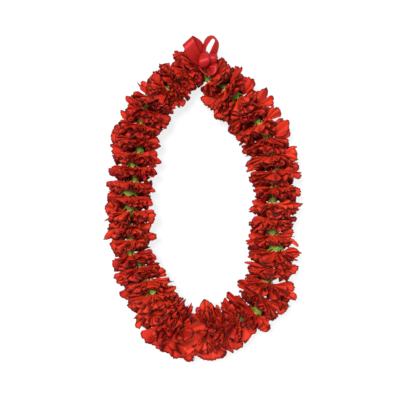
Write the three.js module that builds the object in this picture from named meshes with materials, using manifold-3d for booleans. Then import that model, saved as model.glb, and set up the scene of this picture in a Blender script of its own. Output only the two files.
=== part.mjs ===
import * as THREE from "three";
import { mergeVertices } from "three/addons/utils/BufferGeometryUtils.js";
import Module from "manifold-3d";

// A closed lei of red carnations on one thread, lying flat, in millimetres with +Z up.
// Two strands run down from a ribbon bow at +Y and meet at -Y, and every flower faces down its strand.

const wasm = await Module();
wasm.setup();

// The thread's line on the table plane, from the bow down the right strand, along the bottom and back up.
const ROUTE = [
  [1, 202.5], [14, 190], [31, 170.5], [52, 147], [73, 116.5], [94.5, 80], [106, 39], [110, -2],
  [106.5, -41], [106.5, -75], [101.5, -118], [89.6, -148.7], [66, -175], [36, -191.5], [5, -198.5],
  [-30, -196.5], [-55.5, -182.5], [-75, -157], [-87.5, -127], [-99, -99], [-107.5, -67], [-110, -24],
  [-107, 17], [-102.5, 58], [-98, 89], [-85, 121.5], [-62, 158], [-38, 181], [-16, 195],
];
const RIGHT = 1;
const LEFT = -1;
const RIGHT_LENGTH = 510; // along the thread from the bow to where the strands meet
const TANGENT_STEP = 1.5;
const THREAD_HEIGHT = 29; // above the table
const TABLE = { width: 700, depth: 40 };
const BOW_DIP = { depth: 5, reach: 60 }; // how far the thread sinks where it carries only the bow

// Flowers on each strand, the ones at the bow smaller and the ones at the bottom broader.
const FLOWERS = { [RIGHT]: 20, [LEFT]: 21 };
const FIRST_MOUTH = { [RIGHT]: 26, [LEFT]: 24 }; // from the bow's middle to the first calyx mouth
const LAST_REACH = 25.5; // from the last calyx mouth to where the strands meet
const BLOOM_RADIUS = 36.5;
const SQUASH = 0.85; // height over width of a bloom
const TOP_SIZES = [0.8, 0.92];
const BOTTOM_SIZES = [1.06, 1.12, 1.18, 1.2];

// Petals in two layers, grown from every other sector of the core's rings. An edge is a list of shares
// of the petal's half angle and of its reach.
const PETALS = 5; // in each layer
const BLADE = 1.5; // thickness along the thread
const SKIRT_SLOPE = 0.3; // how far the skirt leans down the strand as it widens
const OUTER = {
  ring: 1,
  sector: 0,
  share: 0.86, // of its sector that a petal fills
  reach: 1, // of the bloom's radius
  lift: 0, // how far its edge stands before the skirt
  wave: 6, // height of the waves in its edge
  edge: [[-1, 0.84], [-0.52, 1], [0, 0.92], [0.5, 1.02], [1, 0.86]],
};
const INNER = {
  ring: 3,
  sector: 1,
  share: 0.8,
  reach: 0.82,
  lift: 5.7,
  wave: 5,
  edge: [[-1, 0.85], [-0.35, 1.02], [0.3, 0.93], [1, 0.9]],
};
const TROUGHS = { from: 0.15, spread: 0.25 }; // of the wave, where an edge point lies back
const CRESTS = { from: 0.75, spread: 0.25 };
const REACH_SPREAD = 0.07;
const SIZE_SPREAD = 0.06;
const TURN_SPREAD = 0.2; // of a sector
const CORE = [
  { from: -4, radius: 4.6, points: 5 },
  { from: 0.8, radius: 6.9, points: 10 },
  { from: 2.3, radius: 6.9, points: 10 },
  { from: 3.4, radius: 5.6, points: 10 },
  { from: 4.9, radius: 5.4, points: 10 },
  { from: 5, radius: 4.6, points: 5 },
];

// Calyxes: a five-toothed green cup round each ring, its stem end pushed into the bloom before it.
const SIDES = 5;
const CALYX_LENGTH = 17;
const SHOULDER = { from: -12.5, radius: 7.6 };
const TOOTH = { outer: 11.6, inner: 10.8, from: -1.2, thick: 1 };
const NOTCH = { outer: 8.5, inner: 7.4, from: -1.9, thick: 0.7 };
const CUP_FLOOR = -7;
const STEM_RADIUS = 3.4;
const STEM_GAP = 0.4; // between two runs
const LAST_STEM_END = 2; // past the last calyx mouth
const CALYXES_PER_RUN = 3;

const THREAD_RADIUS = 0.6;
const BORE_RADIUS = 1.35;

// The bow: satin ribbon round a knot that the thread passes through. A station is x, y, z and width.
const RIBBON_THICKNESS = 1;
const KNOT = { half: 6.5, radius: 8.5, end: 6, bend: 3.5 }; // half its length, and where its bore bends
const LEFT_LOOP = {
  across: [0.77, 0.65, 0.1],
  stations: [
    [2, 203, 31, 8], [-5, 212, 42, 13], [-13, 222, 51, 18], [-21, 233, 53, 21],
    [-26, 238.5, 48, 21], [-22, 234, 42, 20], [-12, 222, 36, 16], [-4, 211, 31, 10], [0, 204, 29, 7],
  ],
};
const RIGHT_LOOP = {
  across: [0.3, 0.15, 0.94],
  stations: [
    [2, 202, 31, 7], [4, 212, 35, 12], [4, 224, 38, 15], [8, 237, 40, 16], [14, 243.5, 40, 16],
    [20.5, 239, 40, 16], [23, 229, 39, 16], [20, 218, 37, 14], [12, 209, 34, 12], [5, 203, 31, 7],
  ],
};
const LOWER_LOOP = {
  across: [0.25, 0.45, 0.86],
  stations: [
    [0, 203, 31, 7], [3, 199, 38, 11], [7, 192, 44, 13], [12, 187.5, 47, 13],
    [18, 191, 47, 13], [19.5, 199, 43, 12], [13, 205, 36, 10], [4, 204, 31, 7],
  ],
};

const PETAL_RED = new THREE.MeshStandardMaterial({ color: 0xb81c16, roughness: 0.75, metalness: 0 });
const CALYX_GREEN = new THREE.MeshStandardMaterial({ color: 0x6f9a3a, roughness: 0.7, metalness: 0 });
const THREAD_WHITE = new THREE.MeshStandardMaterial({ color: 0xe6ded0, roughness: 0.9, metalness: 0 });
const RIBBON_RED = new THREE.MeshStandardMaterial({ color: 0xc01e34, roughness: 0.35, metalness: 0 });

const route = new THREE.CatmullRomCurve3(
  ROUTE.map(([x, y]) => new THREE.Vector3(x, y, 0)),
  true,
  "centripetal",
);
route.arcLengthDivisions = 2000;
const routeLength = route.getLength();
const strandLength = { [RIGHT]: RIGHT_LENGTH, [LEFT]: routeLength - RIGHT_LENGTH };

// A point of the thread, by its distance from the bow down a strand.
function onThread(strand, distance) {
  const share = (strand * distance) / routeLength;
  return route.getPointAt(share - Math.floor(share));
}

// A point beside the thread: across is away from the lei's hole, and up is from the thread's height.
function beside(strand, distance, across, up) {
  const point = onThread(strand, distance);
  const after = onThread(strand, distance + TANGENT_STEP);
  const ahead = after.sub(onThread(strand, distance - TANGENT_STEP)).normalize();
  const outward = new THREE.Vector3(-ahead.y, ahead.x, 0).multiplyScalar(strand);
  const dip = BOW_DIP.depth * Math.exp(-((distance / BOW_DIP.reach) ** 2));
  return point.addScaledVector(outward, across).setZ(THREAD_HEIGHT - dip + up);
}

// Numbers from 0 to 1 that are the same on every run for the same seed.
function randomFrom(seed) {
  let state = seed;
  return () => {
    state = (state + 0x6d2b79f5) | 0;
    let mixed = Math.imul(state ^ (state >>> 15), 1 | state);
    mixed = (mixed + Math.imul(mixed ^ (mixed >>> 7), 61 | mixed)) ^ mixed;
    return ((mixed ^ (mixed >>> 14)) >>> 0) / 4294967296;
  };
}

// A closed surface under construction.
class Skin {
  points = [];
  triangles = [];

  // Adds points and gives back their numbers.
  add(points) {
    this.points.push(...points);
    return points.map((_, index) => this.points.length - points.length + index);
  }

  // Fills a loop of point numbers from its first point.
  fill(...loop) {
    for (let i = 1; i < loop.length - 1; i += 1) {
      const triangle = [loop[0], loop[i], loop[i + 1]];
      if (new Set(triangle).size === 3) this.triangles.push(triangle);
    }
  }

  // Joins two rings, of which one may have twice the points of the other. Sectors to be left open are
  // given back as their corners.
  join(ring, next, open = () => false) {
    const steps = Math.max(ring.length, next.length);
    const at = (loop, step) => loop[Math.floor(((step % steps) * loop.length) / steps + 0.5) % loop.length];
    const corners = [];
    for (let step = 0; step < steps; step += 1) {
      const sector = [at(ring, step), at(ring, step + 1), at(next, step + 1), at(next, step)];
      if (open(step)) corners.push(sector);
      else this.fill(...sector);
    }
    return corners;
  }

  // Joins rings in turn, and the last to the first.
  joinAll(rings) {
    rings.forEach((ring, index) => this.join(ring, rings[(index + 1) % rings.length]));
  }

  // The solid inside the surface, whichever way round the surface was made.
  solid() {
    const { points, triangles } = this;
    const volume = triangles.reduce(
      (sum, [a, b, c]) => sum + points[a].dot(points[b].clone().cross(points[c])),
      0,
    );
    const facing = volume < 0 ? triangles.map(([a, b, c]) => [a, c, b]) : triangles;
    const vertProperties = new Float32Array(points.flatMap((p) => p.toArray()));
    const triVerts = new Uint32Array(facing.flat());
    return new wasm.Manifold(new wasm.Mesh({ numProp: 3, vertProperties, triVerts }));
  }
}

// A solid whose rings join in turn, and the last to the first.
function ringSolid(rings) {
  const skin = new Skin();
  skin.joinAll(rings.map((ring) => skin.add(ring)));
  return skin.solid();
}

function ringRound(strand, distance, radius, count = SIDES, turn = 0) {
  return Array.from({ length: count }, (_, i) => {
    const angle = Math.PI / 2 + turn + (2 * Math.PI * i) / count;
    return beside(strand, distance, radius * Math.cos(angle), radius * Math.sin(angle));
  });
}

// The rim of a calyx, where tooth tips and notches take turns.
function toothedRing(strand, mouth, side) {
  return Array.from({ length: 2 * SIDES }, (_, i) => {
    const angle = Math.PI / 2 + (Math.PI * i) / SIDES;
    const form = i % 2 === 0 ? TOOTH : NOTCH;
    const forward = form.from + (side === "inner" ? form.thick : 0);
    return beside(strand, mouth + forward, form[side] * Math.cos(angle), form[side] * Math.sin(angle));
  });
}

function mouthOf(strand, index) {
  const first = FIRST_MOUTH[strand];
  const last = strandLength[strand] - LAST_REACH;
  return first + ((last - first) * index) / (FLOWERS[strand] - 1);
}

// Where the thread and its bores bend, as distances from the bow.
function bendsOf(strand) {
  const bends = [0, KNOT.bend, 2 * KNOT.bend];
  for (let index = 0; index < FLOWERS[strand]; index += 1) {
    const mouth = mouthOf(strand, index);
    bends.push((bends.at(-1) + mouth) / 2, mouth);
  }
  return [...bends, strandLength[strand]];
}

// One petal: a waved blade that widens from the four corners of its root to a notched edge.
function growPetal(skin, strand, mouth, layer, corners, middle, radius, random) {
  const halfAngle = (Math.PI / PETALS) * layer.share;
  const start = CORE[layer.ring];
  const edge = layer.edge.map(([at, reach], index) => {
    const r = radius * layer.reach * (reach + REACH_SPREAD * (random() - 0.5));
    const { from, spread } = index % 2 === 0 ? TROUGHS : CRESTS;
    const wave = layer.wave * (from + spread * random());
    const forward = start.from + SKIRT_SLOPE * (r - start.radius) + layer.lift + wave;
    return { angle: middle + at * halfAngle, r, forward };
  });
  const face = (thickness) =>
    skin.add(
      edge.map(({ angle, r, forward }) =>
        beside(strand, mouth + forward + thickness, r * Math.cos(angle), SQUASH * r * Math.sin(angle)),
      ),
    );
  const back = face(0);
  const front = face(BLADE);
  const [back0, back1, front1, front0] = corners;
  const last = edge.length - 1;
  const centre = Math.floor(edge.length / 2);
  skin.fill(back0, back1, back[centre]);
  skin.fill(front0, front[centre], front1);
  for (let i = 0; i < last; i += 1) {
    const [backRoot, frontRoot] = i < centre ? [back0, front0] : [back1, front1];
    skin.fill(backRoot, back[i + 1], back[i]);
    skin.fill(frontRoot, front[i], front[i + 1]);
    skin.fill(back[i], back[i + 1], front[i + 1], front[i]);
  }
  skin.fill(back1, front1, front[last], back[last]);
  skin.fill(front0, back0, back[0], front[0]);
}

function bloomSize(strand, index) {
  const fromEnd = FLOWERS[strand] - index;
  if (index < TOP_SIZES.length) return TOP_SIZES[index];
  if (fromEnd <= BOTTOM_SIZES.length) return BOTTOM_SIZES[BOTTOM_SIZES.length - fromEnd];
  return 1;
}

function bloom(strand, index, table) {
  const random = randomFrom(1000 * (strand + 2) + index);
  const mouth = mouthOf(strand, index);
  const radius = BLOOM_RADIUS * bloomSize(strand, index) * (1 + SIZE_SPREAD * (random() - 0.5));
  const turn = random() * 2 * Math.PI;
  const skin = new Skin();
  const rings = CORE.map(({ from, radius: r, points }) =>
    skin.add(ringRound(strand, mouth + from, r, points, turn)),
  );
  rings.forEach((ring, number) => {
    const layer = [OUTER, INNER].find((each) => each.ring === number);
    const isRoot = (step) => layer !== undefined && step % 2 === layer.sector;
    const roots = skin.join(ring, rings[(number + 1) % rings.length], isRoot);
    roots.forEach((corners, k) => {
      const sector = 2 * k + layer.sector + 0.5 + TURN_SPREAD * (random() - 0.5);
      const middle = Math.PI / 2 + turn + (Math.PI / PETALS) * sector;
      growPetal(skin, strand, mouth, layer, corners, middle, radius, random);
    });
  });
  return skin.solid().subtract(table);
}

// A run of calyxes, each joined to the next by the stem that reaches through the bloom between them.
function calyxRun(strand, first, next) {
  const rings = [];
  for (let index = first; index < next; index += 1) {
    const mouth = mouthOf(strand, index);
    rings.push(
      ringRound(strand, mouth - CALYX_LENGTH, STEM_RADIUS),
      ringRound(strand, mouth + SHOULDER.from, SHOULDER.radius),
      toothedRing(strand, mouth, "outer"),
      toothedRing(strand, mouth, "inner"),
      ringRound(strand, mouth + CUP_FLOOR, STEM_RADIUS),
    );
  }
  const start = mouthOf(strand, first) - CALYX_LENGTH;
  const end =
    next < FLOWERS[strand]
      ? mouthOf(strand, next) - CALYX_LENGTH - STEM_GAP
      : mouthOf(strand, next - 1) + LAST_STEM_END;
  rings.push(ringRound(strand, end, STEM_RADIUS));
  const bore = bendsOf(strand).filter((bend) => bend > start + 1 && bend < end - 1);
  for (const distance of [end, ...bore.reverse(), start]) {
    rings.push(ringRound(strand, distance, BORE_RADIUS));
  }
  return ringSolid(rings);
}

// The thread is one closed loop through every flower.
function thread() {
  const right = bendsOf(RIGHT).map((bend) => ringRound(RIGHT, bend, THREAD_RADIUS));
  const left = bendsOf(LEFT).slice(1, -1).map((bend) => ringRound(LEFT, bend, THREAD_RADIUS));
  return ringSolid([...right, ...left.reverse()]);
}

// A flat strip of ribbon along its stations, as wide as each of them says.
function ribbonStrip({ across, stations }) {
  const side = new THREE.Vector3(...across).normalize();
  const centres = stations.map(([x, y, z]) => new THREE.Vector3(x, y, z));
  const skin = new Skin();
  const rings = centres.map((centre, index) => {
    const before = centres[Math.max(index - 1, 0)];
    const after = centres[Math.min(index + 1, centres.length - 1)];
    const thin = after.clone().sub(before).cross(side).normalize().multiplyScalar(RIBBON_THICKNESS / 2);
    const wide = side.clone().multiplyScalar(stations[index][3] / 2);
    return skin.add([
      centre.clone().add(wide).add(thin),
      centre.clone().sub(wide).add(thin),
      centre.clone().sub(wide).sub(thin),
      centre.clone().add(wide).sub(thin),
    ]);
  });
  rings.slice(1).forEach((ring, index) => skin.join(rings[index], ring));
  skin.fill(...rings[0].toReversed());
  skin.fill(...rings.at(-1));
  return skin.solid();
}

function ribbonBow() {
  const { half, radius, end, bend } = KNOT;
  const outside = [ringRound(RIGHT, -half, end), ringRound(RIGHT, 0, radius), ringRound(RIGHT, half, end)];
  const bore = [half, bend, 0, -bend, -half].map((distance) => ringRound(RIGHT, distance, BORE_RADIUS));
  let bow = ringSolid([...outside, ...bore]);
  for (const loop of [LEFT_LOOP, RIGHT_LOOP, LOWER_LOOP]) {
    bow = bow.add(ribbonStrip(loop));
  }
  return bow;
}

function meshOf(name, solid, material) {
  const { vertProperties, triVerts } = solid.getMesh();
  const geometry = new THREE.BufferGeometry();
  geometry.setAttribute("position", new THREE.BufferAttribute(vertProperties, 3));
  geometry.setIndex(new THREE.BufferAttribute(triVerts, 1));
  const mesh = new THREE.Mesh(geometry, material);
  mesh.name = name;
  return mesh;
}

// The table under the lei, which presses the lowest petals flat.
function tableBlock() {
  const { width, depth } = TABLE;
  const box = new THREE.BoxGeometry(width, width, depth).translate(0, 0, -depth / 2);
  box.deleteAttribute("normal");
  box.deleteAttribute("uv");
  const merged = mergeVertices(box);
  const vertProperties = merged.attributes.position.array;
  const triVerts = new Uint32Array(merged.index.array);
  return new wasm.Manifold(new wasm.Mesh({ numProp: 3, vertProperties, triVerts }));
}

function twoDigits(number) {
  return String(number).padStart(2, "0");
}

const lei = new THREE.Group();
const table = tableBlock();
for (const [letter, strand] of [["R", RIGHT], ["L", LEFT]]) {
  for (let index = 0; index < FLOWERS[strand]; index += 1) {
    lei.add(meshOf(`bloom_${letter}${twoDigits(index + 1)}`, bloom(strand, index, table), PETAL_RED));
  }
  for (let first = 0; first < FLOWERS[strand]; first += CALYXES_PER_RUN) {
    const next = Math.min(first + CALYXES_PER_RUN, FLOWERS[strand]);
    const name = `calyxes_${letter}${twoDigits(first + 1)}_${twoDigits(next)}`;
    lei.add(meshOf(name, calyxRun(strand, first, next), CALYX_GREEN));
  }
}
lei.add(meshOf("thread", thread(), THREAD_WHITE));
lei.add(meshOf("ribbon_bow", ribbonBow(), RIBBON_RED));

// The origin is the middle of the lei's box, on the table.
const middle = new THREE.Box3().setFromObject(lei).getCenter(new THREE.Vector3());
lei.position.set(-middle.x, -middle.y, 0);

export default lei;
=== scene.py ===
import math
from dataclasses import dataclass

import bpy
import numpy as np
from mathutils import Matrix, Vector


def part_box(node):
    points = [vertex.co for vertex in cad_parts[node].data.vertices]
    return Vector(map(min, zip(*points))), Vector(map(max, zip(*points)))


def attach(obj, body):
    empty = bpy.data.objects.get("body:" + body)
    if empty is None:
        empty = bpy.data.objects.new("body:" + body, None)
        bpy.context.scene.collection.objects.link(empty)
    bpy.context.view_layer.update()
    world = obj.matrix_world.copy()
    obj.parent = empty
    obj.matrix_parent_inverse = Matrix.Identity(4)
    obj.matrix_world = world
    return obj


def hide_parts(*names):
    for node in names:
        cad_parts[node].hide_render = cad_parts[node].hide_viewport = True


# A fresh flower lei, seen from above. Shapes are worked out in millimetres and made in metres.
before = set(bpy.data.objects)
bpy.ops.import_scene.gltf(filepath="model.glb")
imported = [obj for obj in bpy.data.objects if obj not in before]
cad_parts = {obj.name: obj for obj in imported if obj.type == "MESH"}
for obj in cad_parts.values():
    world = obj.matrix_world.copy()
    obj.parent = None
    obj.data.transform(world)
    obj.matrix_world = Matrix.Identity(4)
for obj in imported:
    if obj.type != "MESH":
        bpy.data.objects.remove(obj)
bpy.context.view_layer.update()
MM = 0.001
TINY = 1e-9

# The thread's line, from the bow down the right strand, along the bottom and back up.
ROUTE = [
    (1, 202.5), (14, 190), (31, 170.5), (52, 147), (73, 116.5), (94.5, 80), (106, 39), (110, -2),
    (106.5, -41), (106.5, -75), (101.5, -118), (89.6, -148.7), (66, -175), (36, -191.5), (5, -198.5),
    (-30, -196.5), (-55.5, -182.5), (-75, -157), (-87.5, -127), (-99, -99), (-107.5, -67), (-110, -24),
    (-107, 17), (-102.5, 58), (-98, 89), (-85, 121.5), (-62, 158), (-38, 181), (-16, 195),
]
RIGHT = 1
LEFT = -1
STRANDS = (RIGHT, LEFT)
LETTERS = {RIGHT: "R", LEFT: "L"}
RIGHT_LENGTH = 510  # of the thread from the bow to the end of the right strand
TANGENT_STEP = 1.5  # either side of a point, for the thread's direction there
THREAD_HEIGHT = 29
BOW_DIP = 5  # how much lower the thread lies under the bow
BOW_DIP_REACH = 60
ROUTE_STEPS = 4000
THREAD_RADIUS = 0.6
THREAD_SIDES = 8
THREAD_STEP = 3

# Flowers down each strand.
FLOWERS = {RIGHT: 20, LEFT: 21}
FIRST_MOUTH = {RIGHT: 26, LEFT: 24}  # how far down the strand the first one's mouth lies
LAST_REACH = 25.5  # from the last one's mouth to the strand's end
SQUASH = 0.85  # a flower's height as a share of its width
SWAY_LEAD = 4  # how far up the strand from its mouth a flower's calyx sits fully to one side
BLOOM_SEEDS = {RIGHT: 300, LEFT: 100}
CALYX_SEEDS = {RIGHT: 1500, LEFT: 500}

# For each flower down a strand: its reach away from the lei's hole and towards it, its lean from square
# to the thread in degrees, and how far its calyx sits away from the hole.
FLOWER_FORMS = {
    RIGHT: [
        (34, 38, -6, -14), (40, 46, -9, -1), (38, 43, 4, 2), (39, 41, 2, 3), (37, 40, 10, 7),
        (38, 41, 14, 7), (39, 41, 9, 5), (39, 43, 5, 7), (38, 39, 0, 2), (38, 41, 0, -5),
        (37, 42, -5, -4), (34, 39, 3, -3), (38, 42, 4, 4), (40, 43, -2, 0), (43, 41, 0, -3),
        (38, 42, 0, -5), (34, 41, 0, 7), (37, 41, 10, 0), (44, 44, 8, 0), (45, 46, 3, -4),
    ],
    LEFT: [
        (31, 38, -4, -6), (34, 41, -5, 0), (36, 34, -3, -6), (37, 34, 12, 2), (39, 37, 8, 12),
        (40, 33, 14, 3), (38, 35, 8, 0), (35, 38, 3, -7), (36, 37, 4, 2), (37, 35, 0, -5),
        (37, 36, 4, 3), (37, 39, 5, -2), (38, 39, 0, 0), (33, 33, -1, -2), (36, 33, -10, 6),
        (37, 37, -14, -4), (38, 41, -14, -6), (38, 42, -14, -10), (38, 41, -8, 0), (42, 44, -4, 0),
        (49, 44, -2, 3),
    ],
}
# How far down the strand the petals on top reach, which leaves more or less of the next calyx to see.
TOP_REACH = {
    RIGHT: [20, 21, 27, 20, 21, 26, 25, 23, 24, 27, 21, 19, 29, 21, 23, 20, 33, 33, 31, 20],
    LEFT: [34, 19, 27, 19, 19, 26, 18, 19, 20, 17, 19, 30, 19, 18, 19, 19, 18, 31, 29, 24, 18],
}
# How wide the calyxes open, as a share of their full width, where they differ from the usual.
CALYX_GIRTH = 0.62
OPEN_CALYXES = {
    RIGHT: {
        0: 0.3, 1: 0.34, 2: 0.95, 6: 0.4, 7: 0.36, 8: 0.75, 10: 0.36, 11: 1.05, 12: 1.15, 13: 0.4, 14: 0.8,
        15: 0.4, 16: 0.85, 17: 0.3, 18: 0.3,
    },
    LEFT: {0: 0.34, 1: 0.34, 7: 0.66, 8: 0.75, 9: 0.5, 10: 1.3, 11: 1.05, 12: 0.3, 17: 1.15, 18: 0.4},
}

# Calyxes: how far down the strand from the flower's mouth, and the radius there when fully open.
CALYX_START = -17
CALYX_PROFILE = [
    (CALYX_START, 3.4), (-15.5, 5.4), (-13.6, 7.0), (-11, 7.9), (-8.5, 8.4), (-6, 9.0), (-4, 9.4),
]
CALYX_EDGE, CALYX_EDGE_RADIUS = CALYX_PROFILE[-1]
CALYXES_PER_RUN = 3
CALYX_COLUMNS = 40
CALYX_WALL = 0.6
CALYX_LENGTH = 18  # about to the tips of its teeth
CALYX_TEETH = 5
NOTCH_END = -3.4
TOOTH_END = 1.2
TOOTH_POWER = 0.8  # how rounded the teeth are: 1 is straight
TOOTH_SHARES = (0.35, 0.7, 1)  # where the rings from the edge to the tips of the teeth lie
FLARE_SHARES = (0.55, 0.25)  # how far the teeth flare at their roots, and how much more at their tips
NARROWING = 6  # how far from its start a calyx that is less open is narrowed in full
RIBS = 20
RIB_DEPTH = 0.16
RIBBED_FROM = 5  # radius where the ribs begin
LIP_SHIFT = 0.15  # how much further down the strand the inner face of its wall lies than the outer one
INNER_FROM = 3  # the ring of the outer face up to which the inner face comes back
CUP_FLOOR = -9
CUP_FLOOR_RADIUS = 3.4
STEM_MIDDLE_RADIUS = 2.9
STEM_END_RADIUS = 2.6
BACK_RADIUS = 3.0
THREAD_HOLE = 0.9
LAST_STEM_END = 2  # how far past its mouth the last flower's stem ends

# Petals, in layers from the outside in. Angles are in degrees; lean is from square to the thread,
# down the strand.
ROOT_RADIUS = 4.5
ROOT_DEPTH = -2
ROOT_LEAN = 62
ROOT_BEND = 3.2  # the length over which a petal bends from that to its own lean
ROOT_RUN = 2.2  # how far down the strand the bend at its root takes a petal
LAYERS = [
    {"petals": 6, "reach": 1.0, "spread": 33, "lean": 14, "pleat": 2.9, "columns": 27},
    {"petals": 7, "reach": 0.95, "spread": 30, "lean": 23, "pleat": 3.1, "columns": 27},
    {"petals": 6, "reach": 0.87, "spread": 33, "lean": 32, "pleat": 3.1, "columns": 27},
    {"petals": 5, "reach": 0.72, "spread": 37, "lean": 43, "pleat": 2.7, "columns": 19},
    {"petals": 3, "reach": 0.47, "spread": 44, "lean": 60, "pleat": 1.8, "columns": 17},
]
# How much of its room down the strand each layer's petals on top take: the edges lie in rows.
ROW_SHARES = [0.42, 0.68, 0.9, 1.0, 1.05]
MOST_OF_ROOM = 1.05
ROOM_MARGIN = 3  # what petals leave of that room
LAST_LEANS = [-14, 4, 22, 42, 72]  # of a strand's last flower, which opens into a face
UNDER_LEANS = [-22, 10, 40, 50, 62]  # of the petals below the thread, which fill the gaps between flowers
UNDER_GAIN = 1.5  # how soon below the thread a petal takes that lean in full
# Flowers with an open notch after them on the side away from the hole, which no petal leans into.
OPEN_AFTER = {(RIGHT, 13), (RIGHT, 16)}
OPEN_SIDE_ROOM = 5
SIDE_ROOM = 12  # how much further the petals at a flower's sides may reach than those on top
# Two more rings of petals spread from under the knot, one down each strand: where their mouth is, their
# reach away from the hole and towards it, how high round the thread they stand, and the least darkness of
# their petals, which is painted shade under the bow.
KNOT_PETALS = {RIGHT: (2, 25, 33, 0.85, 1.0), LEFT: (6, 36, 20, 1.0, 0.7)}
KNOT_ROOM = {RIGHT: 16, LEFT: 35}
KNOT_LEAST_LEAN = 12
# How dark the flowers are, 0 to 1: in each strand, and those that differ. The first left flower is
# darker as painted shade under the bow.
TONES = {RIGHT: (0.12, 0.5), LEFT: (0.3, 0.68)}
TONE_AND_SHADE_OF_FLOWER = {(LEFT, 0): 0.8, (LEFT, 1): 0.6, (RIGHT, 3): 0.6, (LEFT, 18): 0.25, (LEFT, 17): 0.3}
# How far the petals at a flower's sides are tongues: narrower, smoother and more pointed.
TONGUES = {RIGHT: 1.0, LEFT: 0.6}
TONGUE_POWER = 1.5
TONGUE_NARROWING = 0.28
TONGUE_SMOOTHING = 0.4
TONGUE_POINT = 0.17
POINT = 0.03  # how much shorter a petal is at its sides, as a share of its length
CURL = (2, 16)  # how far petals curl back towards their edge: mean and deviation, in degrees
# What is drawn by chance, from and to.
DRAWS = {
    "place": (-0.2, 0.2),  # along its ring, in steps from petal to petal
    "reach": (0.8, 0.97),  # as a share of the flower's
    "room": (-2, 1),
    "lean": (-8, 8),
    "row": (-0.12, 0.12),
    "last lean": (-6, 6),
    "side twist": (15, 55),
    "twist": (-14, 14),
    "tongue": (0.2, 0.8),
    "pleat": (0.6, 1.3),  # its height, as a share of the layer's
    "tone": (-0.3, 0.5),
    "tooth": (0.2, 1),  # as a share of the deepest
    "notch depth": (0.02, 0.12),
    "notch place": (-0.7, 0.7),
    "slant": (-0.07, 0.07),
    "pleats": (1.5, 3.1),  # how many a petal that spreads by PLEAT_SPREAD has
    "cup": (-5, 3),  # how far its sides bend up the strand
    "long angle": (-0.1, 0.3),  # round the thread, in radians
    "long twist": (-12, 12),
    "long tone": (0.1, 0.5),
    "calyx tooth": (0.85, 1.15),
    "calyx flare": (0.3, 0.8),
}
# A petal's outline. Depths are shares of its length, and places across it run from -1 to 1.
TOOTH_DEPTH = 0.02
NOTCH_WIDTH = 0.09
POINT_POWER = 1.6
CORNER_DEPTH = 0.07  # how far the corners are rounded off
CORNER_POWER = 8
CLAW_FAN = 0.4  # how far the claw fans out, as a share of the petal's spread
CLAW_END = 0.55
PROFILE_REACH = 1.2  # of the line that it bends along, as a share of its length
PROFILE_STEPS = 60
ROLL_END = 0.8  # where along its length a petal has turned in full
# A petal's pleats.
PLEAT_SPREAD = 29
PLEAT_SHIFT = 1.3  # how uneven they are, in radians
SHIFT_TURNS = 2.6
PLEAT_SLANT = 0.7
FINE_PLEAT = 0.35
FINE_TURNS = 1.7
DEEPEST_WAVE = 1.3
ROOT_SWELL = 0.22  # the share of their height that grows evenly from the root
SWELL_POWER = 1.8
PLEAT_LEAN = 0.45  # how far they fold over sideways, as a share of their height
EDGE_WAVE = 2.2  # height of a broad wave along the edge
EDGE_TURNS = 1.3
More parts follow.
